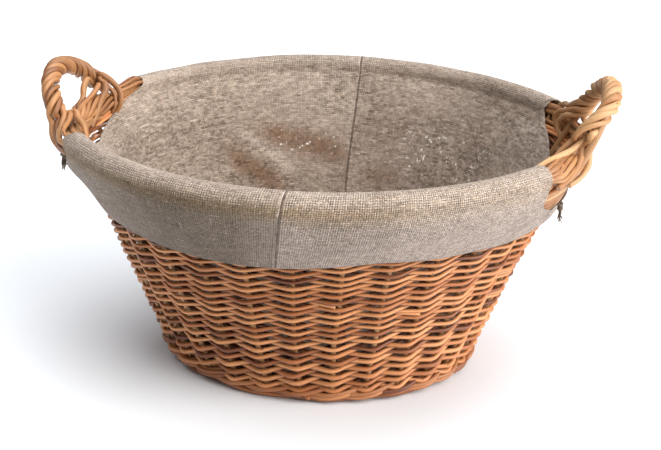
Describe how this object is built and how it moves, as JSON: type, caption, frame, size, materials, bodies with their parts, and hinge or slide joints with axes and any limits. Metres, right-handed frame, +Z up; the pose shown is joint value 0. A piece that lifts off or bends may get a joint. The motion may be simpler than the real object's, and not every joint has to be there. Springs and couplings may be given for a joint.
{
  "type": "laundry basket",
  "caption": "Oval flared willow laundry basket with a rolled border, two roped end handles and a hessian liner whose cuff folds over the rim.",
  "frame": {"origin": "centre of the oval footprint, on the floor", "axes": "+Z up, +X towards one handle along the long axis of the oval, -Y the front with a liner seam"},
  "size_m": [0.55, 0.437, 0.2942],
  "materials": {
    "willow_weave": "satin",
    "willow_sticks": "satin",
    "willow_border": "satin",
    "willow_handle": "satin",
    "hessian": "matte",
    "tie_cord": "matte"
  },
  "bodies": {
    "basket": {"base_long_sticks": "willow_sticks", "base_cross_sticks": "willow_sticks", "base_weave": "willow_weave", "foot_wale": "willow_weave", "side_stakes": "willow_sticks", "side_weave": "willow_weave", "top_wale": "willow_weave", "border": "willow_border", "handle_left_bow": "willow_sticks", "handle_left_rope": "willow_handle", "handle_left_rod_ends": "willow_handle", "handle_right_bow": "willow_sticks", "handle_right_rope": "willow_handle", "handle_right_rod_ends": "willow_handle"},
    "lining": {"lining_panel_left": "hessian", "lining_panel_right": "hessian", "lining_base": "hessian", "tie_left": "tie_cord", "tie_right": "tie_cord"}
  },
  "joints": [
    {"name": "lining_lift", "type": "slide", "parent": "basket", "child": "lining", "axis": [0, 0, 1], "range_m": [0, 0.3], "deforming": ["lining_panel_left", "lining_panel_right", "tie_left", "tie_right"]}
  ]
}
